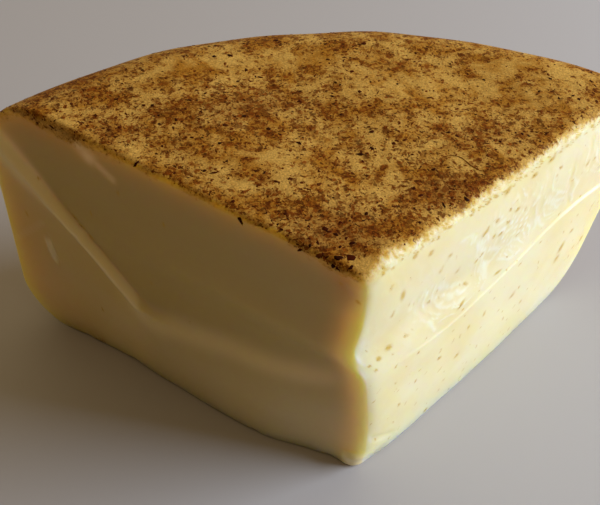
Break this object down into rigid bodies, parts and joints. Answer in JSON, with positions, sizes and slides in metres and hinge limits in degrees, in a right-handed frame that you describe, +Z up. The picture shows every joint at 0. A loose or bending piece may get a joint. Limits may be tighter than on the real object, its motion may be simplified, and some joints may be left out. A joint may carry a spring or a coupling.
{
  "type": "hereford hop cheese wedge",
  "caption": "Broad wedge of a small pressed cheese wheel: hop-coated top, outer wall and rounded rims, and smooth cut faces meeting at a tip.",
  "frame": {"origin": "middle of the box, on the flat base", "axes": "+Z up, the wedge's tip towards -Y and its curved outer wall towards +Y, the longer cut face on the -X side"},
  "size_m": [0.1342, 0.0748, 0.0668],
  "materials": {
    "cheese": "waxy pale paste on the cuts, brown toasted hop flakes pressed into the coat of the top and wall"
  },
  "bodies": {
    "root": {"hop_cheese": "cheese"}
  },
  "joints": []
}
